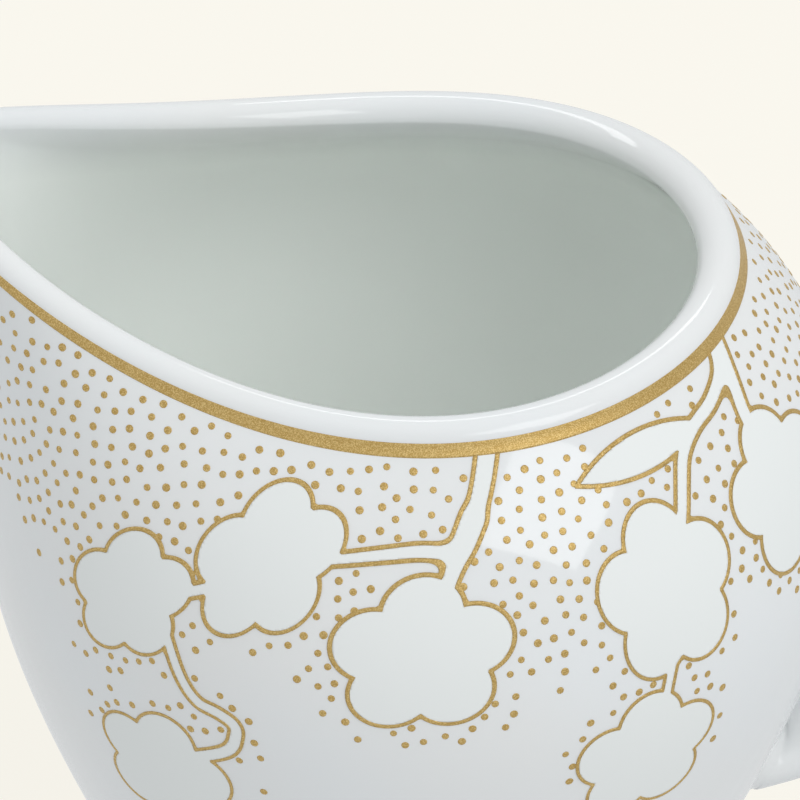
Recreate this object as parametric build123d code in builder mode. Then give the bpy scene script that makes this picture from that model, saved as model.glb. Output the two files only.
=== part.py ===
"""A small porcelain cream jug: round belly, rolled lip, raised spout, luted handle and fired gold decoration.

Millimetres. +Z is up, the spout points to -X and the handle to +X. The origin is the centre of the foot ring,
on the plane the jug stands on. The jug is symmetric about the plane Y = 0.
"""

import os
from math import comb, cos, hypot, pi, radians, sin

from build123d import *

# ---------------------------------------------------------------------------------------------------------
# Driving dimensions
# ---------------------------------------------------------------------------------------------------------

# Belly: Bezier ordinates of the wall's radius, at even steps from the foot (level 0) to the lip (level 1)
BELLY_RADII = (18.9, 27.2, 31.3, 45.1, 46.2, 30.0)
SIDE_HEIGHT = 78.0  # the lip's height at the jug's sides, where its roll begins

# Spout: how far the lip runs out past the round mouth, and how it grows up the wall
SPOUT_REACH = 15.7
SPOUT_SHARPNESS = 3.4
SPOUT_PINCH = 0.08
SPOUT_PINCH_POWER = 2.25
SPOUT_START = 0.512
SPOUT_GROWTH = 4.45

# Saddle: how far the lip rises above its height at the sides
SPOUT_RISE = 16.4
SPOUT_RISE_POWER = 4.56
HANDLE_RISE = 3.0
HANDLE_RISE_POWER = 1.63
RISE_START = 0.30
RISE_GROWTH = 1.8

# Lip and wall
LIP_THICKNESS = 4.05
LIP_THINNING = 0.245  # the lip's loss of thickness at the spout's tip
LIP_THINNING_POWER = 2.57
WALL = 3.0
FLOOR_THICKNESS = 3.6

# Foot
FOOT_HEIGHT = 3.0
FOOT_RING_OUTER = 19.9
FOOT_RING_INNER = 16.4
FOOT_EDGE_OUTER = 18.9
FOOT_EDGE_INNER = 17.3
FOOT_ROUNDING = 0.5

# Handle: half height and half width of its oval section
HANDLE_HALF_HEIGHT = 2.9
HANDLE_HALF_WIDTH = 4.3
HANDLE_ROOT_DEPTH = 1.5  # how far the root's end sits inside the wall

# Decoration
SKIN = 0.15  # thickness of every fired layer
CLEARANCE = 0.02  # between a fired layer and the wall under it
LINE_LEVELS = (0.985, 0.9985)  # the rim line's lower and upper edge
STEM_WIDTH = 1.7
PETALS = 5
PETAL_RADIUS_SHARE = 0.42  # a petal's radius, as a share of its blossom's
MIDDLE_RADIUS_SHARE = 0.5

AROUND = 48  # points around each section of the body
FRONT = 270.0  # the front (-Y) as an angle from +X, in degrees

# ---------------------------------------------------------------------------------------------------------
# The jug's surfaces. turn is the angle around the jug in radians, 0 at the handle and pi at the spout.
# level runs from 0 at the foot to 1 where the wall meets the lip's roll.
# ---------------------------------------------------------------------------------------------------------


def spout_share(turn):
    """0 at the handle side, 1 at the spout's tip."""
    return (1 - cos(turn)) / 2


def belly_radius(level):
    steps = len(BELLY_RADII) - 1
    return sum(
        comb(steps, i) * level**i * (1 - level) ** (steps - i) * radius
        for i, radius in enumerate(BELLY_RADII)
    )


def growth(level, start, power):
    """0 below start, then a smooth rise to 1 at the lip."""
    return max(0.0, (level - start) / (1 - start)) ** power


def wall_point(turn, level):
    """A point of the body's outer surface."""
    share = spout_share(turn)
    radius = belly_radius(level)
    spout = growth(level, SPOUT_START, SPOUT_GROWTH)
    rise = SPOUT_RISE * share**SPOUT_RISE_POWER + HANDLE_RISE * (1 - share) ** HANDLE_RISE_POWER
    pinch = SPOUT_PINCH * spout * share**SPOUT_PINCH_POWER
    return Vector(
        radius * cos(turn) - SPOUT_REACH * spout * share**SPOUT_SHARPNESS,
        radius * sin(turn) * (1 - pinch),
        SIDE_HEIGHT * level + rise * growth(level, RISE_START, RISE_GROWTH),
    )


def wall_frame(turn, level, step=1e-4):
    """The wall's horizontal tangent and its outward normal."""
    across = wall_point(turn + step, level) - wall_point(turn - step, level)
    upward = wall_point(turn, level + step) - wall_point(turn, level - step)
    return across.normalized(), across.cross(upward).normalized()


def inner_point(turn, level):
    return wall_point(turn, level) - wall_frame(turn, level)[1] * WALL


def lip_point(turn, roll):
    """A point of the lip's round roll: roll is 90 degrees outside, 0 on top and -90 inside."""
    across = wall_frame(turn, 1.0)[0]
    outward = Vector(across.Y, -across.X, 0).normalized()
    thinning = LIP_THINNING * spout_share(turn) ** LIP_THINNING_POWER
    half = LIP_THICKNESS / 2 * (1 - thinning)
    centre = wall_point(turn, 1.0) - outward * half
    angle = radians(roll)
    return centre + outward * (half * sin(angle)) + Vector(0, 0, half * cos(angle))


def floor_point(turn, share):
    """The rounded corner from the inner wall (share 0) to the flat floor (share 1)."""
    start_level = 0.17
    start = inner_point(turn, start_level)
    floor_height = FOOT_HEIGHT + FLOOR_THICKNESS
    radius = hypot(start.X, start.Y) * (1 - 0.42 * share**1.6)
    height = start.Z + (floor_height - start.Z) * (1 - (1 - share) ** 2.0)
    return Vector(radius * cos(turn), radius * sin(turn), height)


def ring(point_at):
    """A closed curve around the jug through point_at(turn)."""
    return Wire([Edge.make_spline([point_at(2 * pi * i / AROUND) for i in range(AROUND)], periodic=True)])


FOOT_LEVEL = FOOT_HEIGHT / SIDE_HEIGHT
OUTER_LEVELS = (FOOT_LEVEL, 0.10, 0.18, 0.27, 0.36, 0.45, 0.54, 0.62, 0.70, 0.78, 0.85, 0.91, 0.955, 0.985)
LIP_ROLLS = (90, 60, 30, 0, -30, -60, -90)
INNER_LEVELS = (0.955, 0.91, 0.85, 0.78, 0.70, 0.62, 0.54, 0.45, 0.36, 0.27, 0.17)
FLOOR_SHARES = (0.4, 0.7, 1.0)


def jug_skin():
    """One skin up the outside, over the lip and down the inside to the flat floor."""
    rings = [ring(lambda turn: wall_point(turn, level)) for level in OUTER_LEVELS]
    rings += [ring(lambda turn: lip_point(turn, roll)) for roll in LIP_ROLLS]
    rings += [ring(lambda turn: inner_point(turn, level)) for level in INNER_LEVELS]
    rings += [ring(lambda turn: floor_point(turn, share)) for share in FLOOR_SHARES]
    return Solid.make_loft(rings)


# ---------------------------------------------------------------------------------------------------------
# Body: the cast shell with its spout, lip and floor
# ---------------------------------------------------------------------------------------------------------

with BuildPart() as jug_body:
    add(jug_skin())

# ---------------------------------------------------------------------------------------------------------
# Foot ring: the turned ring under the body, with a flat ground edge
# ---------------------------------------------------------------------------------------------------------

with BuildPart() as foot_ring:
    with BuildSketch(Plane.XZ) as foot_profile:
        with BuildLine():
            Polyline(
                (FOOT_RING_INNER, FOOT_HEIGHT),
                (FOOT_RING_OUTER, FOOT_HEIGHT),
                (FOOT_EDGE_OUTER, 0),
                (FOOT_EDGE_INNER, 0),
                close=True,
            )
        make_face()
        fillet(foot_profile.vertices().group_by(Axis.Y)[0], FOOT_ROUNDING)
    revolve(axis=Axis.Z)

# ---------------------------------------------------------------------------------------------------------
# Handle: an ear-shaped loop, cast apart and luted to the wall at both ends
# ---------------------------------------------------------------------------------------------------------

# Stations along the handle: x, z, the direction of travel in degrees from +X, and the section's growth
UPPER_ROOT_LEVEL = 0.80
LOWER_ROOT_LEVEL = 0.33
HANDLE_STATIONS = (
    (43.5, 65.2, 18, 1.22),
    (48.5, 66.2, 4, 1.0),
    (55.0, 64.8, -28, 0.95),
    (59.8, 59.6, -62, 0.92),
    (61.0, 52.6, -92, 0.92),
    (58.6, 45.0, -118, 0.94),
    (53.0, 37.6, -137, 0.98),
    (45.5, 31.2, -143, 1.06),
    (40.0, 27.6, -150, 1.22),
)


def station_plane(x, z, travel):
    along = Vector(cos(radians(travel)), 0, sin(radians(travel)))
    return Plane(origin=(x, 0, z), x_dir=(0, 1, 0), z_dir=along)


def root_plane(level, travel_sign):
    """A plane along the wall at the handle's side, sunk a little into it."""
    normal = wall_frame(0.0, level)[1]
    sunk = wall_point(0.0, level) - normal * HANDLE_ROOT_DEPTH
    return Plane(origin=sunk, x_dir=(0, 1, 0), z_dir=normal * travel_sign)


ROOT_GROWTH = 1.75

with BuildPart() as handle:
    with BuildSketch(root_plane(UPPER_ROOT_LEVEL, 1)):
        Ellipse(HANDLE_HALF_WIDTH * ROOT_GROWTH, HANDLE_HALF_HEIGHT * ROOT_GROWTH)
    for x, z, travel, size in HANDLE_STATIONS:
        with BuildSketch(station_plane(x, z, travel)):
            Ellipse(HANDLE_HALF_WIDTH * size, HANDLE_HALF_HEIGHT * size)
    with BuildSketch(root_plane(LOWER_ROOT_LEVEL, -1)):
        Ellipse(HANDLE_HALF_WIDTH * ROOT_GROWTH, HANDLE_HALF_HEIGHT * ROOT_GROWTH)
    loft()
    add(jug_body.part, mode=Mode.SUBTRACT)

# ---------------------------------------------------------------------------------------------------------
# Decoration: thin flat pieces, each laid on the wall where it stands. Its places are an angle in degrees
# from the front, growing towards the handle, and a level.
# ---------------------------------------------------------------------------------------------------------


def wall_plane(angle, level, lift=CLEARANCE):
    """The plane just off the wall there: local X along the wall, Y up it and Z out of it."""
    turn = radians(FRONT + angle)
    across, normal = wall_frame(turn, level)
    return Plane(origin=wall_point(turn, level) + normal * lift, x_dir=across, z_dir=normal)


def shifted(angle, level, along, up, step=1e-3):
    """The place that lies so many millimetres along and up the wall from another."""
    turn = radians(FRONT + angle)
    per_turn = (wall_point(turn + step, level) - wall_point(turn, level)).length / step
    per_level = (wall_point(turn, level + step) - wall_point(turn, level)).length / step
    return angle + along / per_turn * 180 / pi, level + up / per_level


def disc(angle, level, radius):
    with BuildSketch(wall_plane(angle, level)) as outline:
        Circle(radius)
    return outline.sketch


def blossom(angle, level, radius, spin):
    """Five round petals about a round middle."""
    petal = radius * PETAL_RADIUS_SHARE
    pieces = [disc(angle, level, radius * MIDDLE_RADIUS_SHARE)]
    for i in range(PETALS):
        direction = radians(spin + 360 / PETALS * i)
        reach = radius - petal
        centre = shifted(angle, level, reach * cos(direction), reach * sin(direction))
        pieces.append(disc(*centre, petal))
    return pieces


def stem(places):
    """A rounded strip from each place to the next."""
    pieces = []
    for (angle_1, level_1), (angle_2, level_2) in zip(places, places[1:]):
        plane = wall_plane((angle_1 + angle_2) / 2, (level_1 + level_2) / 2)
        ends = [wall_point(radians(FRONT + a), v) for a, v in ((angle_1, level_1), (angle_2, level_2))]
        along = ends[1] - ends[0]
        with BuildSketch(Plane(origin=plane.origin, x_dir=along, z_dir=plane.z_dir)) as outline:
            SlotCenterToCenter(along.length, STEM_WIDTH)
        pieces.append(outline.sketch)
    return pieces


def leaf(angle, level, tilt, half_length, half_width):
    plane = wall_plane(angle, level).rotated((0, 0, tilt))
    with BuildSketch(plane) as outline:
        Ellipse(half_length, half_width)
    return outline.sketch


# One spray hangs from the rim near the middle of the side, the other from the rim beside the handle
MIDDLE_BLOSSOMS = (
    (-22.3, 0.884, 7.7, 90),
    (-4.1, 0.806, 8.0, 270),
    (-43.6, 0.785, 7.2, 100),
    (-41.5, 0.575, 7.2, 80),
)
MIDDLE_STEMS = (
    ((9.0, 0.975), (5.4, 0.95), (2.6, 0.915), (-1.6, 0.868)),
    ((4.2, 0.94), (-1.0, 0.917), (-7.5, 0.915), (-13.5, 0.897)),
    ((-31.0, 0.842), (-38.0, 0.82)),
    ((-38.2, 0.77), (-36.6, 0.727), (-33.2, 0.698), (-29.8, 0.69)),
    ((-29.8, 0.69), (-28.9, 0.672), (-31.0, 0.645), (-35.5, 0.617)),
)
HANDLE_BLOSSOMS = (
    (30.8, 0.826, 7.6, 270),
    (26.8, 0.645, 7.2, 80),
    (54.5, 0.838, 7.6, 100),
)
HANDLE_STEMS = (
    ((59.0, 0.972), (54.0, 0.968), (46.0, 0.957), (40.0, 0.932), (36.0, 0.9)),
    ((58.6, 0.972), (56.3, 0.95), (54.4, 0.922), (54.5, 0.89)),
    ((29.6, 0.76), (28.3, 0.69)),
)
HANDLE_LEAVES = ((33.5, 0.957, 6, 6.2, 1.9),)


def laid_spray(blossoms, stems, leaves):
    """Every shape of a spray, raised to a thin piece of its own on the wall."""
    outlines = [outline for shape in blossoms for outline in blossom(*shape)]
    outlines += [outline for places in stems for outline in stem(places)]
    outlines += [leaf(*shape) for shape in leaves]
    return Compound([extrude(outline, amount=SKIN).solid() for outline in outlines])


front_middle_spray = laid_spray(MIDDLE_BLOSSOMS, MIDDLE_STEMS, ())
front_handle_spray = laid_spray(HANDLE_BLOSSOMS, HANDLE_STEMS, HANDLE_LEAVES)

# The gold rim line runs round the jug right under the lip's roll, as two mirrored halves joined on Y = 0
def line_section(turn):
    """The line's cross section, just off the wall."""
    low, high = LINE_LEVELS
    corners = [wall_plane(turn * 180 / pi - FRONT, level, lift).origin
               for level, lift in ((low, CLEARANCE), (low, SKIN), (high, SKIN), (high, CLEARANCE))]
    return Wire.make_polygon(corners)


half_line = Solid.make_loft([line_section(pi * i / (AROUND // 2)) for i in range(AROUND // 2 + 1)])

with BuildPart() as gold_rim_line:
    add(half_line)
    mirror(about=Plane.XZ)

# ---------------------------------------------------------------------------------------------------------
# Export
# ---------------------------------------------------------------------------------------------------------

PIECES = {
    "jug_body": jug_body.part,
    "handle": handle.part,
    "foot_ring": foot_ring.part,
    "gold_rim_line": gold_rim_line.part,
    "front_middle_spray": front_middle_spray,
    "front_handle_spray": front_handle_spray,
    "back_middle_spray": front_middle_spray.mirror(Plane.XZ),
    "back_handle_spray": front_handle_spray.mirror(Plane.XZ),
}

os.makedirs("parts", exist_ok=True)
for name, piece in PIECES.items():
    piece.label = name
    export_step(piece, f"parts/{name}.step")
    print(name, "solids", len(piece.solids()), "volume", round(piece.volume, 1))
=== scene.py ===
# %% [markdown]
# # A porcelain cream jug
# The jug is one cast shell with a rolled lip and a raised spout, a handle luted on afterwards, and fired
# decoration: a gold line under the lip, matte white blossom sprays edged in gold, and a ground of gold dots.
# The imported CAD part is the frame. Everything here is in metres, in that frame: +Z up, spout to -X.

# %% Load the frame
import math

import bmesh
import bpy
import numpy as np
from mathutils import Matrix, Vector


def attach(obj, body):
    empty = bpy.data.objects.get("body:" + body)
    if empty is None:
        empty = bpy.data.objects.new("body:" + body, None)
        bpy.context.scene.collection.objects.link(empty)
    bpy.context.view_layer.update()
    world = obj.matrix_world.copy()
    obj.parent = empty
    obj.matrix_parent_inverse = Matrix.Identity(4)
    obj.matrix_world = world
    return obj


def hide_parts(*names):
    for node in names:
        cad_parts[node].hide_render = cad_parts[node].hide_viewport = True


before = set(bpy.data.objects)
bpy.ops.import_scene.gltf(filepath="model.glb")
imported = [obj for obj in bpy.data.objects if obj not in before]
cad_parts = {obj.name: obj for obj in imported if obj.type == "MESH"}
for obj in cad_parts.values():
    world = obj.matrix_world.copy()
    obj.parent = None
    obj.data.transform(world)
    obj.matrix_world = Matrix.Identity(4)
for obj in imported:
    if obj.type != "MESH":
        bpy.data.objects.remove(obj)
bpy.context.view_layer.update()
MM = 0.001

# %% [markdown]
# ## The wall as a formula
# A potter thinks of a jug as a profile turned round an axis, then pulled out into a spout. The same thought
# gives a formula: `turn` is the angle around the jug (0 at the handle, pi at the spout) and `level` runs up
# the wall from 0 at the foot to 1 under the lip. Every later piece, from the glaze to the smallest dot, is
# laid on this one formula, so nothing has to be fitted afterwards.

# %% The jug's driving dimensions, in millimetres
BELLY_RADII = (18.9, 27.2, 31.3, 45.1, 46.2, 30.0)
SIDE_HEIGHT = 78.0
SPOUT_REACH, SPOUT_SHARPNESS = 15.7, 3.4
SPOUT_PINCH, SPOUT_PINCH_POWER = 0.08, 2.25
SPOUT_START, SPOUT_GROWTH = 0.512, 4.45
SPOUT_RISE, SPOUT_RISE_POWER = 16.4, 4.56
HANDLE_RISE, HANDLE_RISE_POWER = 3.0, 1.63
RISE_START, RISE_GROWTH = 0.30, 1.8
LIP_THICKNESS, LIP_THINNING, LIP_THINNING_POWER = 4.05, 0.245, 2.57
WALL, FLOOR_THICKNESS, FOOT_HEIGHT = 3.0, 3.6, 3.0
FRONT = 1.5 * math.pi


# %% Points, normals and the lip's roll
def growth(level, start, power):
    return np.clip((level - start) / (1 - start), 0, None) ** power


def wall_point(turn, level):
    """Points of the outer wall, in millimetres; turn and level may be arrays."""
    turn, level = np.broadcast_arrays(np.asarray(turn, float), np.asarray(level, float))
    share = (1 - np.cos(turn)) / 2
    steps = len(BELLY_RADII) - 1
    radius = 0.0
    for i, ordinate in enumerate(BELLY_RADII):
        radius = radius + math.comb(steps, i) * level**i * (1 - level) ** (steps - i) * ordinate
    spout = growth(level, SPOUT_START, SPOUT_GROWTH)
    rise = SPOUT_RISE * share**SPOUT_RISE_POWER + HANDLE_RISE * (1 - share) ** HANDLE_RISE_POWER
    pinch = SPOUT_PINCH * spout * share**SPOUT_PINCH_POWER
    x = radius * np.cos(turn) - SPOUT_REACH * spout * share**SPOUT_SHARPNESS
    y = radius * np.sin(turn) * (1 - pinch)
    z = SIDE_HEIGHT * level + rise * growth(level, RISE_START, RISE_GROWTH)
    return np.stack([x, y, z], -1)


def unit(vectors):
    return vectors / np.linalg.norm(vectors, axis=-1, keepdims=True)


def wall_frame(turn, level, step=1e-4):
    """The wall's unit tangent around the jug, its unit tangent up the wall, and its outward normal."""
    across = unit(wall_point(turn + step, level) - wall_point(turn - step, level))
    upward = unit(wall_point(turn, level + step) - wall_point(turn, level - step))
    return across, upward, unit(np.cross(across, upward))


def inner_point(turn, level):
    return wall_point(turn, level) - wall_frame(turn, level)[2] * WALL


def lip_point(turn, roll, grow=0.0):
    """The lip's round roll: roll is 90 degrees outside, 0 on top and -90 inside."""
    turn = np.asarray(turn, float)
    across = wall_frame(turn, 1.0)[0]
    outward = unit(np.stack([across[..., 1], -across[..., 0], 0 * across[..., 0]], -1))
    share = (1 - np.cos(turn)) / 2
    half = (LIP_THICKNESS / 2 * (1 - LIP_THINNING * share**LIP_THINNING_POWER))[..., None]
    up = np.array([0.0, 0.0, 1.0])
    spoke = outward * math.sin(math.radians(roll)) + up * math.cos(math.radians(roll))
    return wall_point(turn, 1.0) - outward * half + (half + grow) * spoke


def floor_point(turn, share, start_level=0.17):
    """The rounded corner from the inner wall (share 0) to the flat floor (share 1)."""
    start = inner_point(turn, start_level)
    reach = np.hypot(start[..., 0], start[..., 1]) * (1 - 0.42 * share**1.6)
    height = start[..., 2] + (FOOT_HEIGHT + FLOOR_THICKNESS - start[..., 2]) * (1 - (1 - share) ** 2)
    return np.stack([reach * np.cos(turn), reach * np.sin(turn), height], -1)


print("mouth", wall_point([0, FRONT, math.pi], 1.0).round(1).tolist())

# %% [markdown]
# ## Small mesh helpers
# A ring-by-ring surface is only a grid of points with quads between them, closed around the jug. These
# helpers turn such grids into meshes that sit at the origin, as the CAD nodes do, and smooth their shading.


# %% Grids to meshes
def new_piece(name, points_mm, faces, material, smooth=True):
    mesh = bpy.data.meshes.new(name)
    mesh.from_pydata((np.asarray(points_mm) * MM).tolist(), [], faces)
    mesh.materials.append(material)
    mesh.polygons.foreach_set("use_smooth", [smooth] * len(mesh.polygons))
    mesh.update()
    piece = bpy.data.objects.new(name, mesh)
    bpy.context.scene.collection.objects.link(piece)
    return piece


def recalculate_outward(piece):
    shape = bmesh.new()
    shape.from_mesh(piece.data)
    bmesh.ops.remove_doubles(shape, verts=shape.verts, dist=1e-7)
    bmesh.ops.recalc_face_normals(shape, faces=shape.faces)
    shape.to_mesh(piece.data)
    shape.free()


def ring_faces(rings, around, closed_sections=False):
    """Quads between successive rings; closed_sections also joins the last ring to the first."""
    faces = []
    for r in range(rings if closed_sections else rings - 1):
        low, high = r * around, (r + 1) % rings * around
        for i in range(around):
            j = (i + 1) % around
            faces.append((low + i, low + j, high + j, high + i))
    return faces


def attribute(piece, name, values):
    layer = piece.data.attributes.new(name, "FLOAT", "POINT")
    layer.data.foreach_set("value", np.asarray(values, np.float32))


def count(piece):
    triangles = sum(len(p.vertices) - 2 for p in piece.data.polygons)
    print(piece.name, triangles, "triangles")


# %% [markdown]
# ## Shader maths as expressions
# Node trees are easier to read when the maths in them is written as maths. `Value` wraps one socket, and its
# operators add the Math nodes. `Shade.node` adds any other node: settings first, then sockets.


# %% A small class for sockets
class Value:
    def __init__(self, shade, socket):
        self.shade, self.socket = shade, socket

    def math(self, operation, first, second):
        return self.shade.node("ShaderNodeMath", {"operation": operation}, {0: first, 1: second})

    def __add__(self, other):
        return self.math("ADD", self, other)

    def __sub__(self, other):
        return self.math("SUBTRACT", self, other)

    def __rsub__(self, other):
        return self.math("SUBTRACT", other, self)

    def __mul__(self, other):
        return self.math("MULTIPLY", self, other)

    __radd__, __rmul__ = __add__, __mul__


class Shade:
    def __init__(self, name):
        self.material = bpy.data.materials.new(name)
        self.material.use_nodes = True
        self.tree = self.material.node_tree
        self.tree.nodes.clear()

    def node(self, kind, settings=None, sockets=None, output=0):
        made = self.tree.nodes.new(kind)
        for key, value in (settings or {}).items():
            setattr(made, key, value)
        for key, value in (sockets or {}).items():
            if isinstance(value, Value):
                self.tree.links.new(value.socket, made.inputs[key])
            else:
                made.inputs[key].default_value = value
        return Value(self, made.outputs[output])

    def place(self):
        return self.node("ShaderNodeTexCoord", output="Object")

    def noise(self, scale, detail=2.0, roughness=0.5):
        sockets = {"Vector": self.place(), "Scale": scale, "Detail": detail, "Roughness": roughness}
        return self.node("ShaderNodeTexNoise", None, sockets)

    def ramp(self, factor, low, high):
        """0 below low, 1 above high."""
        sockets = {"Value": factor, "From Min": low, "From Max": high}
        return self.node("ShaderNodeMapRange", {"interpolation_type": "SMOOTHSTEP"}, sockets)

    def mix(self, factor, first, second):
        sockets = {"Factor": factor, 6: first, 7: second}
        return self.node("ShaderNodeMix", {"data_type": "RGBA"}, sockets, output=2)

    def bump(self, height, strength, distance):
        sockets = {"Height": height, "Strength": strength, "Distance": distance}
        return self.node("ShaderNodeBump", None, sockets)

    def finish(self, **sockets):
        names = {key.replace("_", " "): value for key, value in sockets.items()}
        shader = self.node("ShaderNodeBsdfPrincipled", None, names)
        self.node_output(shader)
        return self.material

    def node_output(self, shader):
        made = self.tree.nodes.new("ShaderNodeOutputMaterial")
        self.tree.links.new(shader.socket, made.inputs["Surface"])


# %% [markdown]
# ## Glazed porcelain
# A clear glaze on white porcelain is a bright diffuse body under a smooth, strongly reflecting layer. The
# body is never one flat white. The inside, where the glaze pools, has a faint green tint, partly from the
# thick glaze and partly painted green bounce light. Its colour is also painted brighter than the outside:
# painted light standing in for the light lost at each bounce before it comes back out of the mouth. A
# very faint long ripple in the surface only shows in reflections.

# %% Glaze
WHITE = (0.765, 0.785, 0.795, 1)
WARM_WHITE = (0.775, 0.78, 0.772, 1)
# the inside's colour: a green tint, partly thick glaze and partly painted bounce light, and painted brighter
# than the outside as painted light
INSIDE_TINT_AND_PAINTED_LIGHT = (0.915, 0.95, 0.915, 1)


def glazed_porcelain():
    s = Shade("glazed_porcelain")
    inside = s.node("ShaderNodeAttribute", {"attribute_name": "inside"}, output="Fac")
    cloud = s.ramp(s.noise(28.0), 0.35, 0.65)
    outside_colour = s.mix(cloud * 0.8, WHITE, WARM_WHITE)
    # painted light: the inside faces get the brighter, greener inside colour
    colour = s.mix(inside, outside_colour, INSIDE_TINT_AND_PAINTED_LIGHT)
    ripple = s.noise(45.0, detail=1.0)
    return s.finish(
        Base_Color=colour,
        Roughness=s.noise(160.0) * 0.03 + 0.05,
        IOR=1.52,
        Subsurface_Weight=0.12,
        Subsurface_Radius=(0.9, 1.0, 0.95),
        Subsurface_Scale=0.002,
        Coat_Weight=0.35,
        Coat_Roughness=0.03,
        Normal=s.bump(ripple, 0.06, 0.0006),
    )


def bare_porcelain():
    s = Shade("bare_porcelain")
    grain = s.noise(2200.0, detail=3.0)
    colour = s.mix(grain, (0.78, 0.765, 0.73, 1), (0.86, 0.85, 0.82, 1))
    return s.finish(Base_Color=colour, Roughness=grain * 0.2 + 0.68, Normal=s.bump(grain, 0.35, 0.00006))


def matte_white():
    """The blossoms: an unglazed looking white print with a soft, fine tooth."""
    s = Shade("matte_white")
    tooth = s.noise(2600.0, detail=2.0)
    cloud = s.noise(60.0)
    colour = s.mix(cloud, (0.775, 0.80, 0.79, 1), (0.795, 0.815, 0.805, 1))
    return s.finish(
        Base_Color=colour,
        Roughness=tooth * 0.12 + 0.55,
        Specular_IOR_Level=0.25,
        Normal=s.bump(tooth, 0.12, 0.00003),
    )


def fired_gold():
    """Satin fired gold: a brushed-on film whose tiny grains catch the light one by one."""
    s = Shade("fired_gold")
    grain = s.noise(9000.0, detail=2.0, roughness=0.7)
    patch = s.noise(420.0)
    sparkle = s.ramp(grain, 0.42, 0.66)
    colour = s.mix(sparkle * 0.75 + patch * 0.2, (0.47, 0.29, 0.075, 1), (0.84, 0.64, 0.29, 1))
    return s.finish(
        Base_Color=colour, Metallic=0.82, Roughness=patch * 0.15 + 0.34, Normal=s.bump(grain, 0.4, 0.00005)
    )


GLAZE, BISCUIT, MATTE, GOLD = glazed_porcelain(), bare_porcelain(), matte_white(), fired_gold()
print("materials", [m.name for m in (GLAZE, BISCUIT, MATTE, GOLD)])

# %% [markdown]
# ## The body
# Wall, lip, inside and floor are one skin, as in the slip-cast original: rings go up the outside, over the
# roll of the lip and down the inside. A Subdivision modifier could round a coarse cage, but the formula gives
# the true surface directly, so the rings are simply close together, and closest on the lip.

# %% Body
AROUND = 300
turns = np.linspace(0, 2 * math.pi, AROUND, endpoint=False)
FOOT_LEVEL = FOOT_HEIGHT / SIDE_HEIGHT
outer_levels = np.concatenate([np.linspace(FOOT_LEVEL, 0.9, 66), np.linspace(0.907, 0.999, 20)])
rolls = np.linspace(90, -90, 25)
inner_levels = np.concatenate([np.linspace(0.985, 0.9, 12), np.linspace(0.885, 0.17, 52)])
floor_shares = np.linspace(0.1, 1.0, 10)


def body_rings():
    yield from (wall_point(turns, level) for level in outer_levels)
    yield from (lip_point(turns, roll) for roll in rolls)
    yield from (inner_point(turns, level) for level in inner_levels)
    yield from (floor_point(turns, share) for share in floor_shares)


rings = list(body_rings())
axis_points = np.array([[0, 0, FOOT_HEIGHT], [0, 0, FOOT_HEIGHT + FLOOR_THICKNESS]])
points = np.concatenate(rings + [axis_points])
faces = ring_faces(len(rings), AROUND)
bottom, top = len(points) - 2, len(points) - 1
last = (len(rings) - 1) * AROUND
faces += [(bottom, (i + 1) % AROUND, i) for i in range(AROUND)]
faces += [(top, last + i, last + (i + 1) % AROUND) for i in range(AROUND)]
jug = new_piece("porcelain_body", points, faces, GLAZE)
# the inside's green tint and its painted light fade in together behind the lip
inside_tint_and_light_fade = list(np.linspace(0.3, 1, 8))  # the inside's tint comes in over the first rings behind the lip
ring_inside = [0.0] * (len(outer_levels) + len(rolls)) + inside_tint_and_light_fade
ring_inside += [1.0] * (len(rings) - len(ring_inside))
attribute(jug, "inside", np.concatenate([np.repeat(ring_inside, AROUND), [0.0, 1.0]]))
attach(jug, "root")
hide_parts("jug_body")
count(jug)

# %% [markdown]
# ## The foot ring
# A turned foot is a small trapezoid swept round the axis. Its walls carry glaze, and only the edge that
# touches the table is wiped bare and ground flat, which is why it gets its own, rougher material.

# %% Foot ring
FOOT_OUTSIDE = (  # radius and height
    (19.95, 3.05), (19.9, 2.9), (19.6, 2.1), (19.25, 1.2), (19.0, 0.55), (18.75, 0.15), (18.35, 0.0),
)
FOOT_INSIDE = (
    (17.85, 0.0), (17.45, 0.15), (17.25, 0.55), (17.0, 1.3), (16.7, 2.1), (16.5, 2.8), (16.45, 3.05),
)
BARE_EDGE_HEIGHT = 0.35
profile = FOOT_OUTSIDE + FOOT_INSIDE
foot_rings = [np.stack([r * np.cos(turns), r * np.sin(turns), np.full(AROUND, z)], -1) for r, z in profile]
foot = new_piece("turned_foot", np.concatenate(foot_rings), ring_faces(len(profile), AROUND, True), GLAZE)
foot.data.materials.append(BISCUIT)
for polygon in foot.data.polygons:
    polygon.material_index = int(polygon.center.z < BARE_EDGE_HEIGHT * MM)
recalculate_outward(foot)
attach(foot, "root")
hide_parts("foot_ring")
count(foot)

# %% [markdown]
# ## The handle
# The handle was cast apart and stuck on with slip, and the joint was then sponged into a soft flare. So its
# sections are ovals along a curve, and at both ends they widen and lie down on the wall's own formula.

# %% Handle
HANDLE_HALF_HEIGHT, HANDLE_HALF_WIDTH = 2.9, 4.3
HANDLE_STATIONS = (
    (48.5, 66.2, 4, 1.03),
    (55.0, 64.8, -28, 0.95),
    (59.8, 59.6, -62, 0.92),
    (61.0, 52.6, -92, 0.92),
    (58.6, 45.0, -118, 0.94),
    (53.0, 37.6, -137, 0.98),
    (45.5, 31.2, -143, 1.03),
    (40.0, 27.6, -150, 1.06),
    (36.7, 25.9, -152, 1.1),
)
UPPER_ROOT_LEVEL, LOWER_ROOT_LEVEL = 0.80, 0.33
ROOT_CAP_DEPTH = 1.0  # each end of the handle is closed by a shallow cone this deep
SECTION = 96
section_angles = np.linspace(0, 2 * math.pi, SECTION, endpoint=False)


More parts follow.
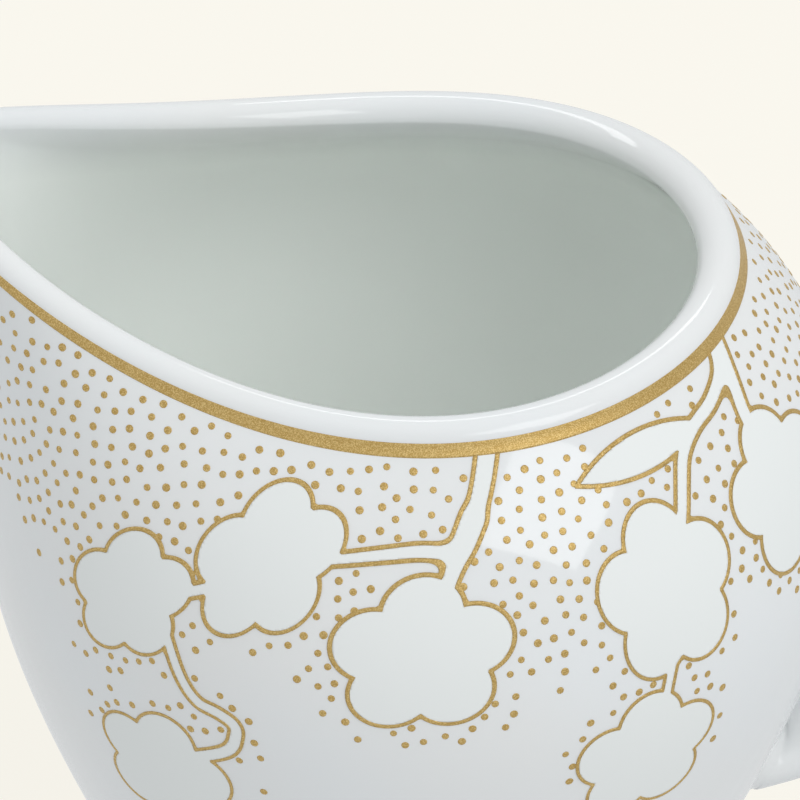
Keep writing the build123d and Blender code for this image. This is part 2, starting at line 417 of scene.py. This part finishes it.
def smooth_between(rows, steps):
    """Points on a Catmull-Rom spline through the rows, with this many steps from each to the next."""
    rows = np.asarray(rows, float)
    padded = np.vstack([2 * rows[0] - rows[1], rows, 2 * rows[-1] - rows[-2]])
    out = []
    for i in range(1, len(padded) - 2):
        a, b, c, d = padded[i - 1 : i + 3]
        for t in np.linspace(0, 1, steps, endpoint=False):
            square, cube = 2 * a - 5 * b + 4 * c - d, 3 * b - a - 3 * c + d
            out.append(0.5 * (2 * b + (c - a) * t + square * t**2 + cube * t**3))
    return np.vstack(out + [rows[-1]])


def oval(x, z, travel, size):
    along = math.radians(travel)
    up = np.array([-math.sin(along), 0, math.cos(along)])
    side = np.array([0.0, 1.0, 0.0])
    wide = np.cos(section_angles)[:, None] * side * HANDLE_HALF_WIDTH * size
    return np.array([x, 0, z]) + wide + np.sin(section_angles)[:, None] * up * HANDLE_HALF_HEIGHT * size


def root_oval(level, size, lift, flip):
    """An oval laid on the wall itself, this far off it."""
    across, upward, _ = wall_frame(0.0, level)
    per_turn = np.linalg.norm(wall_point(1e-3, level) - wall_point(0, level)) / 1e-3
    per_level = np.linalg.norm(wall_point(0, level + 1e-3) - wall_point(0, level)) / 1e-3
    turn = np.cos(section_angles) * HANDLE_HALF_WIDTH * size / per_turn
    rise = level + flip * np.sin(section_angles) * HANDLE_HALF_HEIGHT * size / per_level
    return wall_point(turn, rise) + wall_frame(turn, rise)[2] * lift


FLARE = (  # the root's size and its height off the wall
    (2.3, -0.03), (2.2, 0.0), (2.05, 0.04), (1.9, 0.12), (1.75, 0.25),
    (1.6, 0.46), (1.46, 0.76), (1.34, 1.15), (1.24, 1.7), (1.16, 2.4),
)
keys = [root_oval(UPPER_ROOT_LEVEL, size, lift, 1) for size, lift in FLARE]
keys += [oval(*row) for row in HANDLE_STATIONS]
keys += [root_oval(LOWER_ROOT_LEVEL, size, lift, -1) for size, lift in reversed(FLARE)]
ovals = list(smooth_between(np.reshape(keys, (len(keys), -1)), 4).reshape(-1, SECTION, 3))
cap_points = np.array([ovals[0].mean(0), ovals[-1].mean(0)]) - [ROOT_CAP_DEPTH, 0, 0]
handle_points = np.concatenate(ovals + [cap_points])
handle_faces = ring_faces(len(ovals), SECTION)
first_cap, last_cap = len(handle_points) - 2, len(handle_points) - 1
start = (len(ovals) - 1) * SECTION
handle_faces += [(first_cap, (i + 1) % SECTION, i) for i in range(SECTION)]
handle_faces += [(last_cap, start + i, start + (i + 1) % SECTION) for i in range(SECTION)]
handle = new_piece("ear_handle", handle_points, handle_faces, GLAZE)
recalculate_outward(handle)
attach(handle, "root")
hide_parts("handle")
count(handle)

# %% [markdown]
# ## The rim line
# The gilder holds a loaded brush against the turning jug, right where the wall meets the roll of the lip.
# The line is a thin film, so it is built as one: a low cushion whose section bridges the valley between the
# wall and the roll in one smooth curve, with its two edges sunk just under the glaze.

# %% Rim line
LINE_AROUND = 480
LINE_LOW_LEVEL, LINE_HIGH_ROLL, LINE_CROWN = 0.9925, 73, 0.03
FACING_LEVEL, FACING_ROLL = 0.999, 80  # the line faces halfway between the wall here and the roll here
line_turns = np.linspace(0, 2 * math.pi, LINE_AROUND, endpoint=False)


def line_ring(share, lift):
    """One ring of the line: a curve from its lower edge on the wall (share 0) to its upper one (share 1)."""
    low, corner = wall_point(line_turns, LINE_LOW_LEVEL), wall_point(line_turns, 1.0)
    high = lip_point(line_turns, LINE_HIGH_ROLL)
    roll_outward = unit(lip_point(line_turns, FACING_ROLL, 1.0) - lip_point(line_turns, FACING_ROLL))
    outward = unit(wall_frame(line_turns, FACING_LEVEL)[2] + roll_outward)
    bend = (1 - share) ** 2 * low + 2 * share * (1 - share) * corner + share**2 * high
    return bend + outward * (lift + 4 * share * (1 - share) * LINE_CROWN)


LINE_SECTION = (  # share across the line and lift off the glaze
    (0, -0.06), (0.03, 0.03), (0.12, 0.05), (0.3, 0.06), (0.5, 0.06),
    (0.7, 0.06), (0.88, 0.05), (0.97, 0.03), (1, -0.06),
)
line_rings = [line_ring(share, lift) for share, lift in LINE_SECTION]
rim_line = new_piece(
    "rim_line", np.concatenate(line_rings), ring_faces(len(line_rings), LINE_AROUND, True), GOLD
)
recalculate_outward(rim_line)
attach(rim_line, "root")
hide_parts("gold_rim_line")
count(rim_line)

# %% [markdown]
# ## Blossom sprays
# The sprays are prints, laid on the curved wall without stretching. Drawing each outline by hand would need
# hundreds of points. Instead every shape is a signed distance: how far a place on the wall lies outside the
# shape, in millimetres, negative inside. Blossoms, stems and leaves join by taking the smallest distance. The
# matte print is then where the distance is below zero, the gold edging where it lies between zero and the
# line's width, and the dots keep to where it is larger still.

# %% Distances to the shapes of a spray
PETALS = 5
PETAL_SHARE, MIDDLE_SHARE = 0.44, 0.5  # radii of a petal and of the middle, as shares of the blossom's
FAR_SIDE, FAR_AWAY = -15, 1000.0  # a place this far behind a blossom's plane is on the jug's other side


def wall_place(angle, level):
    """An angle in degrees from the front, growing towards the handle, and a level: the turn and the level."""
    return FRONT + math.radians(angle), level


def local_xy(points, angle, level):
    """The points in the wall's own plane at a place: along the wall and up it."""
    place = wall_place(angle, level)
    across, upward, outward = wall_frame(*place)
    offset = points - wall_point(*place)
    return np.where(offset @ outward < FAR_SIDE, FAR_AWAY, offset @ across), offset @ upward


def blossom_distance(points, angle, level, radius, spin, wide):
    """Five round petals, each with its own circle; wide stretches the blossom along the wall."""
    x, y = local_xy(points, angle, level)
    x = x / wide
    petal = radius * PETAL_SHARE
    distance = np.hypot(x, y) - radius * MIDDLE_SHARE
    for i in range(PETALS):
        direction = math.radians(spin + 360 / PETALS * i)
        reach = radius - petal
        from_petal = np.hypot(x - reach * math.cos(direction), y - reach * math.sin(direction))
        distance = np.minimum(distance, from_petal - petal)
    return distance


def stem_distance(points, places, widths):
    """A strip along a smooth line through the places, tapering from the first width to the last."""
    line = smooth_between([(*p, w) for p, w in zip(places, np.linspace(*widths, len(places)))], 6)
    turns_along = FRONT + np.radians(line[:, 0])
    knots = wall_point(turns_along, line[:, 1])
    distance = np.full(points.shape[:-1], 1e9)
    for (a, half_a), (b, half_b) in zip(zip(knots, line[:, 2]), zip(knots[1:], line[1:, 2])):
        run = b - a
        t = np.clip((points - a) @ run / (run @ run), 0, 1)
        gap = np.linalg.norm(points - a - t[..., None] * run, axis=-1) - (half_a + (half_b - half_a) * t)
        distance = np.minimum(distance, gap)
    return distance


def soft_union(first, second, softness=1.4):
    """Both shapes, with the corner between them filled as paint would fill it."""
    share = np.clip(1 - np.abs(first - second) / softness, 0, 1)
    return np.minimum(first, second) - softness / 4 * share**2


def leaf_distance(points, angle, level, tilt, half_length, half_width):
    """A pointed leaf: where two equal discs overlap."""
    x, y = local_xy(points, angle, level)
    c, s = math.cos(math.radians(tilt)), math.sin(math.radians(tilt))
    along, over = x * c + y * s, np.abs(y * c - x * s)
    radius = (half_length**2 + half_width**2) / (2 * half_width)
    return np.hypot(along, over + radius - half_width) - radius


# %% [markdown]
# One spray hangs from the rim near the middle of each side and the other beside the handle. The places are
# angles and levels on the wall. Most blossoms sit on the shoulder, and one of each spray hangs below them.
# The back has the same sprays, mirrored.

# %% Places of the sprays
MIDDLE_BLOSSOMS = (
    (-23.9, 0.880, 7.2, 94, 0.89),
    (-4.1, 0.806, 7.3, 90, 1.14),
    (-44.3, 0.783, 6.6, 98, 0.94),
    (-41.5, 0.575, 7.3, 80, 1.0),
)
MIDDLE_STEMS = (
    (((9.8, 1.01), (6.4, 0.962), (3.4, 0.925), (0.2, 0.885), (-1.6, 0.85)), (0.8, 0.6)),
    (((4.6, 0.94), (1.6, 0.915), (-4.0, 0.913), (-10.0, 0.906), (-15.5, 0.897)), (0.7, 0.4)),
    (((-30.5, 0.842), (-33.5, 0.828), (-37.5, 0.81)), (0.5, 0.45)),
    (
        (
            (-38.6, 0.768), (-36.5, 0.722), (-34.2, 0.699), (-31.4, 0.694),
            (-29.2, 0.686), (-28.9, 0.671), (-30.4, 0.645), (-36.0, 0.616),
        ),
        (0.45, 0.6),
    ),
)
HANDLE_BLOSSOMS = (
    (30.9, 0.825, 8.4, 92, 0.87),
    (26.6, 0.624, 7.2, 90, 1.02),
    (56.4, 0.850, 7.8, 92, 1.0),
)
HANDLE_STEMS = (
    (
        (
            (60.7, 1.01), (56.0, 0.98), (50.3, 0.965), (44.5, 0.957),
            (40.4, 0.943), (38.0, 0.922), (35.2, 0.885),
        ),
        (0.65, 0.5),
    ),
    (((60.7, 1.01), (57.0, 0.966), (55.0, 0.936), (54.9, 0.9)), (0.65, 0.8)),
    (((30.0, 0.75), (29.0, 0.715), (27.8, 0.66)), (0.4, 0.4)),
)
HANDLE_LEAVES = ((33.6, 0.9605, 3, 7.0, 1.75),)
SPRAYS = {
    "middle": (MIDDLE_BLOSSOMS, MIDDLE_STEMS, (), (-62, 20)),
    "handle": (HANDLE_BLOSSOMS, HANDLE_STEMS, HANDLE_LEAVES, (14, 76)),
}


def spray_distance(points, name):
    blossoms, stems, leaves, _ = SPRAYS[name]
    branch = stem_distance(points, *stems[0])
    for places, widths in stems[1:]:
        branch = soft_union(branch, stem_distance(points, places, widths))
    fields = [branch] + [blossom_distance(points, *blossom) for blossom in blossoms]
    fields += [leaf_distance(points, *leaf) for leaf in leaves]
    return np.minimum.reduce(fields)


# %% [markdown]
# ## From distances to thin pieces
# A fine grid covers the spray's stretch of wall. Each grid cell is clipped to the wanted band of distances,
# and neighbouring cells share the points where an edge crosses a limit, so the clipped cells join into one
# clean sheet. The sheet is then raised a little, its rim closed down to the glaze, and it is a solid print.

# %% Clipping a grid to a band of distances
GRID_STEP = 0.24  # millimetres
PRINT_BOTTOM = -0.02


def clip_cell(corners, low, high):
    """Corners are (key, distance, turn, level); the part of the cell with low <= distance <= high."""
    for limit, keep_above in ((low, True), (high, False)):
        kept = []
        for a, b in zip(corners, corners[1:] + corners[:1]):
            inside_a = (a[1] >= limit) == keep_above
            inside_b = (b[1] >= limit) == keep_above
            if inside_a:
                kept.append(a)
            if inside_a != inside_b:
                first, second = (a, b) if str(a[0]) < str(b[0]) else (b, a)
                t = (limit - first[1]) / (second[1] - first[1])
                spot = [u + (v - u) * t for u, v in zip(first[1:], second[1:])]
                kept.append((("x", limit, first[0], second[0]), limit, *spot[1:]))
        corners = kept
        if len(corners) < 3:
            return []
    return corners


def band_sheet(grid_turns, grid_levels, distance, low, high):
    """A welded sheet of the cells' parts inside the band: points as (turn, level) and faces."""
    index, places, sheet = {}, [], []
    rows, columns = distance.shape
    for i in range(rows - 1):
        for j in range(columns - 1):
            block = distance[i : i + 2, j : j + 2]
            if block.max() < low or block.min() > high:
                continue
            spots = ((i, j), (i, j + 1), (i + 1, j + 1), (i + 1, j))
            corners = [(s, distance[s], grid_turns[s[1]], grid_levels[s[0]]) for s in spots]
            if block.min() < low or block.max() > high:
                corners = clip_cell(corners, low, high)
            face = []
            for corner in corners:
                if corner[0] not in index:
                    index[corner[0]] = len(places)
                    places.append(corner[2:])
                if not face or face[-1] != index[corner[0]]:
                    face.append(index[corner[0]])
            if len(set(face)) > 2:
                sheet.append(tuple(face))
    return np.array(places), sheet


def raised_print(name, places, sheet, height, material, mirrored=False):
    """The sheet lifted off the wall, with its rim closed down into the glaze."""
    turn, level = places[:, 0], places[:, 1]
    base, outward = wall_point(turn, level), wall_frame(turn, level)[2]
    top, under = base + outward * height, base + outward * PRINT_BOTTOM
    sides = {}
    for face in sheet:
        for a, b in zip(face, face[1:] + face[:1]):
            sides[(a, b)] = sides.get((a, b), 0) + 1
    rim = [(a, b) for a, b in sides if (b, a) not in sides]
    shift = len(places)
    solid = list(sheet) + [tuple(v + shift for v in reversed(face)) for face in sheet]
    solid += [(b, a, a + shift, b + shift) for a, b in rim]
    points = np.concatenate([top, under])
    if mirrored:
        points = points * [1, -1, 1]
        solid = [tuple(reversed(face)) for face in solid]
    return new_piece(name, points, solid, material)


# %% Sprays on both sides
EDGE_WIDTH = 0.42
PRINT_HEIGHT, EDGE_HEIGHT = 0.03, 0.06
BOTTOM_LEVEL, TOP_LEVEL = 0.46, 0.9945
MM_PER_DEGREE, WALL_STRETCH = 0.65, 1.15  # rough, and only there to make the grid's cells nearly square
THIN_LEVELS, THIN_SHARES = (0.6, 0.9), (0.7, 1.0)  # the outline gets thinner down the wall


def spray_grid(name):
    low, high = SPRAYS[name][3]
    columns = int((high - low) * MM_PER_DEGREE / GRID_STEP)
    rows = int((TOP_LEVEL - BOTTOM_LEVEL) * SIDE_HEIGHT * WALL_STRETCH / GRID_STEP)
    grid_turns = FRONT + np.radians(np.linspace(low, high, columns))
    grid_levels = np.linspace(BOTTOM_LEVEL, TOP_LEVEL, rows)
    grid = wall_point(grid_turns[None, :], grid_levels[:, None])
    return grid_turns, grid_levels, spray_distance(grid, name)


for spray in SPRAYS:
    grid_turns, grid_levels, distance = spray_grid(spray)
    field = band_sheet(grid_turns, grid_levels, distance, -1e6, 0.0)
    thinning = np.interp(grid_levels, THIN_LEVELS, THIN_SHARES)[:, None]
    edging = band_sheet(grid_turns, grid_levels, distance / thinning, 0.0, EDGE_WIDTH)
    for side in ("front", "back"):
        blossom = raised_print(f"{side}_{spray}_blossoms", *field, PRINT_HEIGHT, MATTE, side == "back")
        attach(blossom, "root")
        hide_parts(f"{side}_{spray}_spray")
        edge = raised_print(f"{side}_{spray}_gold_edge", *edging, EDGE_HEIGHT, GOLD, side == "back")
        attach(edge, "root")
        count(blossom)
        count(edge)

# %% [markdown]
# ## The dotted ground
# The dots are printed gold, scattered evenly but without a pattern. That is what Poisson disk scattering
# does: no two dots come closer than a set distance. Geometry Nodes scatters points on a patch of wall that
# carries a density, sets a tiny dome on each, turned to the wall's normal, and makes the whole field one
# mesh.

# %% Where dots may lie
DOT_RADIUS, DOT_SPACING, DOT_HEIGHT = 0.37, 1.52, 0.03
DOT_CLEAR = 0.55  # a dot's centre stays this share of its radius off the outlines, so some dots touch them
GROUND_END, GROUND_FADE = 0.745, 0.05  # the level where the dots under the rim end, and how gradually
HALO, HALO_FADE = 3.2, 1.6  # the dots' reach around a spray, in millimetres, and how gradually it ends
HALO_END, HALO_END_FADE = 0.56, 0.06  # the level below which a spray has no dots around it


def ground_density(grid_turns, grid_levels):
    """Dense under the rim and close around the sprays, thinning out below, and nothing on the sprays."""
    grid = wall_point(grid_turns[None, :], grid_levels[:, None])
    both_sides = (grid, grid * [1, -1, 1])
    gap = np.minimum.reduce([spray_distance(side, name) for side in both_sides for name in SPRAYS])
    levels = grid_levels[:, None]
    under_rim = np.clip((levels - GROUND_END) / GROUND_FADE, 0, 1)
    around = np.clip((HALO - gap) / HALO_FADE, 0, 1) * np.clip((levels - HALO_END) / HALO_END_FADE, 0, 1)
    return np.where(gap > EDGE_WIDTH + DOT_RADIUS * DOT_CLEAR, np.maximum(under_rim, around), 0.0)


ground_turns = np.linspace(0, 2 * math.pi, 520, endpoint=False)
ground_levels = np.linspace(0.5, 0.985, 90)
density = ground_density(ground_turns, ground_levels)
ground_points = np.concatenate([wall_point(ground_turns, level) for level in ground_levels])
ground = new_piece("dot_ground", ground_points, ring_faces(len(ground_levels), len(ground_turns)), GOLD)
attribute(ground, "density", density.ravel())
print("dotted share of the band", round(float(density.mean()), 2))

# %% A tiny dome, and the scatter tree
DOT_SIDES = 12
DOT_SCALES = (0.88, 1.08)
DENSEST = 4.0e6  # per square metre, before the spacing thins them out
SEED = 7


def dot_dome():
    rings = ((1.0, -0.3), (0.97, 0.55), (0.75, 0.95))
    sides = np.linspace(0, 2 * math.pi, DOT_SIDES, endpoint=False)
    points = [
        (share * DOT_RADIUS * math.cos(side), share * DOT_RADIUS * math.sin(side), z * DOT_HEIGHT)
        for share, z in rings
        for side in sides
    ]
    faces = ring_faces(len(rings), DOT_SIDES)
    faces.append(tuple(range(len(points) - DOT_SIDES, len(points))))
    faces.append(tuple(reversed(range(DOT_SIDES))))
    return new_piece("dot_shape", points, faces, GOLD)


def scatter_tree():
    tree = bpy.data.node_groups.new("scatter_dots", "GeometryNodeTree")
    face = tree.interface
    face.new_socket("Geometry", in_out="INPUT", socket_type="NodeSocketGeometry")
    spacing = face.new_socket("Spacing", in_out="INPUT", socket_type="NodeSocketFloat")
    seed = face.new_socket("Seed", in_out="INPUT", socket_type="NodeSocketInt")
    shape = face.new_socket("Dot", in_out="INPUT", socket_type="NodeSocketObject")
    paint = face.new_socket("Gold", in_out="INPUT", socket_type="NodeSocketMaterial")
    face.new_socket("Geometry", in_out="OUTPUT", socket_type="NodeSocketGeometry")

    def node(kind, **settings):
        made = tree.nodes.new(kind)
        for key, value in settings.items():
            setattr(made, key, value)
        return made

    def link(source, target):
        tree.links.new(source, target)

    inputs, outputs = node("NodeGroupInput"), node("NodeGroupOutput")
    density_name = node("GeometryNodeInputNamedAttribute", data_type="FLOAT")
    density_name.inputs["Name"].default_value = "density"
    scatter = node("GeometryNodeDistributePointsOnFaces", distribute_method="POISSON")
    scatter.inputs["Density Max"].default_value = DENSEST
    link(inputs.outputs["Geometry"], scatter.inputs["Mesh"])
    link(inputs.outputs["Spacing"], scatter.inputs["Distance Min"])
    link(inputs.outputs["Seed"], scatter.inputs["Seed"])
    link(density_name.outputs["Attribute"], scatter.inputs["Density Factor"])
    dot = node("GeometryNodeObjectInfo")
    link(inputs.outputs["Dot"], dot.inputs["Object"])
    place_dots = node("GeometryNodeInstanceOnPoints")
    link(scatter.outputs["Points"], place_dots.inputs["Points"])
    link(scatter.outputs["Rotation"], place_dots.inputs["Rotation"])
    link(dot.outputs["Geometry"], place_dots.inputs["Instance"])
    vary = node("FunctionNodeRandomValue", data_type="FLOAT")
    vary.inputs[2].default_value, vary.inputs[3].default_value = DOT_SCALES
    link(vary.outputs[1], place_dots.inputs["Scale"])
    real = node("GeometryNodeRealizeInstances")
    link(place_dots.outputs["Instances"], real.inputs["Geometry"])
    gild = node("GeometryNodeSetMaterial")
    link(real.outputs["Geometry"], gild.inputs["Geometry"])
    link(inputs.outputs["Gold"], gild.inputs["Material"])
    link(gild.outputs["Geometry"], outputs.inputs["Geometry"])
    named = {"spacing": spacing, "seed": seed, "dot": shape, "gold": paint}
    return tree, {name: socket.identifier for name, socket in named.items()}


# %% Scatter, and keep the result as a plain mesh
dome = dot_dome()
tree, sockets = scatter_tree()
modifier = ground.modifiers.new("scatter", "NODES")
modifier.node_group = tree
modifier[sockets["spacing"]] = DOT_SPACING * MM
modifier[sockets["seed"]] = SEED
modifier[sockets["dot"]] = dome
modifier[sockets["gold"]] = GOLD
bpy.context.view_layer.update()
evaluated = ground.evaluated_get(bpy.context.evaluated_depsgraph_get())
dots = bpy.data.objects.new("gold_dots", bpy.data.meshes.new_from_object(evaluated))
bpy.context.scene.collection.objects.link(dots)
for scrap in (ground, dome):
    bpy.data.objects.remove(scrap)
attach(dots, "root")
print("dots", len(dots.data.vertices) // (3 * DOT_SIDES))
count(dots)

# %% [markdown]
# ## Floor, light and camera
# A pale paper, one square window-like light to the front right that shows in the glaze, a large fill that
# is left out of reflections, a long strip above and behind for the thin highlight along the lip, and an even
# bright room for the soft greys that make porcelain look round.

# %% Floor
PAPER = (0.956, 0.93, 0.855, 1)
PAPER_GLOW, PAPER_MATT = 0.81, (0.18, 0.175, 0.161, 1)


def paper_floor():
    s = Shade("paper_floor")
    glow = s.node("ShaderNodeEmission", None, {"Color": PAPER, "Strength": PAPER_GLOW})
    matt = s.node("ShaderNodeBsdfDiffuse", None, {"Color": PAPER_MATT})
    shader = s.node("ShaderNodeAddShader", None, {0: glow, 1: matt})
    s.node_output(shader)
    return s.material


FLOOR_HALF = 6000.0
floor_corners = [(x * FLOOR_HALF, y * FLOOR_HALF, 0) for x, y in ((-1, -1), (1, -1), (1, 1), (-1, 1))]
floor = new_piece("paper", floor_corners, [(0, 1, 2, 3)], paper_floor(), smooth=False)
floor.visible_diffuse = floor.visible_glossy = False  # the paper does not tint the jug

# %% Light
ROOM_COLOUR, ROOM_STRENGTH = (0.97, 0.99, 1.0, 1), 0.735
world = bpy.data.worlds.new("bright_room")
bpy.context.scene.world = world
world.use_nodes = True
world.node_tree.nodes["Background"].inputs["Color"].default_value = ROOM_COLOUR
world.node_tree.nodes["Background"].inputs["Strength"].default_value = ROOM_STRENGTH


def softbox(name, where, aim, width, height, watts, turn=0.0):
    light = bpy.data.lights.new(name, "AREA")
    light.shape, light.size, light.size_y, light.energy = "RECTANGLE", width, height, watts
    lamp = bpy.data.objects.new(name, light)
    aim_turn = (Vector(where) - Vector(aim)).to_track_quat("Z", "Y").to_matrix().to_4x4()
    lamp.matrix_world = Matrix.Translation(where) @ aim_turn @ Matrix.Rotation(math.radians(turn), 4, "Z")
    bpy.context.scene.collection.objects.link(lamp)
    return lamp


JUG_MIDDLE = (0, 0, 0.06)
softbox("front_window", (0.57, -0.80, 0.80), JUG_MIDDLE, 0.58, 0.58, 1.8, turn=45)
fill = softbox("high_fill", (0.55, -0.55, 0.95), JUG_MIDDLE, 1.0, 1.0, 3.6)
fill.visible_glossy = False
softbox("overhead_strip", (-0.3, 0.9, 1.3), JUG_MIDDLE, 2.0, 0.22, 3.5)

# %% Camera
AZIMUTH, ELEVATION, DISTANCE = math.radians(-5.25), math.radians(33.2), 1.448
TARGET = Vector((-1.273, -0.345, 65.969)) * MM
SENSOR, FOCAL_LENGTH, ROLL = 36.0, 709.788, math.radians(-0.37)
level_reach = math.cos(ELEVATION)
back = Vector((math.sin(AZIMUTH) * level_reach, -math.cos(AZIMUTH) * level_reach, math.sin(ELEVATION)))
lens = bpy.data.cameras.new("camera")
lens.sensor_width = SENSOR
lens.lens = FOCAL_LENGTH
lens.clip_start, lens.clip_end = 0.05, 50
camera = bpy.data.objects.new("camera", lens)
aim = back.to_track_quat("Z", "Y").to_matrix().to_4x4() @ Matrix.Rotation(ROLL, 4, "Z")
camera.matrix_world = Matrix.Translation(TARGET + back * DISTANCE) @ aim
bpy.context.scene.collection.objects.link(camera)
bpy.context.scene.camera = camera
bpy.context.scene.view_settings.view_transform = "Standard"
print("lens", round(lens.lens, 1), "mm")

# %% Finish: update the scene
bpy.context.view_layer.update()
